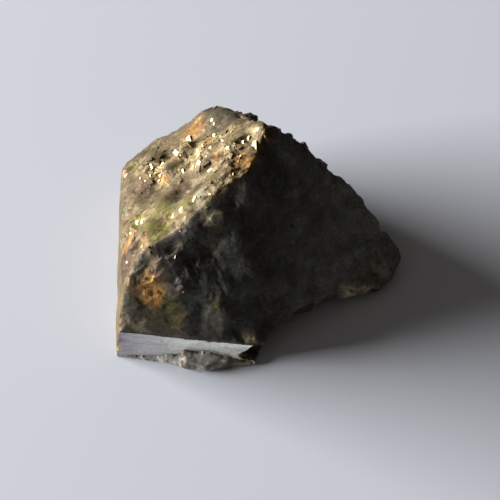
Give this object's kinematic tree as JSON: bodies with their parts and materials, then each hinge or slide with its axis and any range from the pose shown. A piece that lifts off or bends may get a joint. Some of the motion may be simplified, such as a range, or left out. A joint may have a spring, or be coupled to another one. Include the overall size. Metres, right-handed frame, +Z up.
{
  "type": "marcasite specimen",
  "caption": "Broken lump of metallic marcasite with a sharp ridge, a granular sloping face, a broad dark face and a smooth pale crystal facet, resting on a flat foot.",
  "frame": {"origin": "on the surface that the lump rests on, under the middle of its bounding box", "axes": "+Z up from the resting surface, the lump's shortest extent; -Y towards the side with the smooth pale facet; -X towards the flat left wall, +X towards the low pointed end, the lump's longest extent"},
  "size_m": [0.0428, 0.0408, 0.0255],
  "materials": {
    "marcasite": "metallic, tarnished brassy grey, granular with smooth crystal faces"
  },
  "bodies": {
    "root": {"marcasite_lump": "marcasite"}
  },
  "joints": []
}
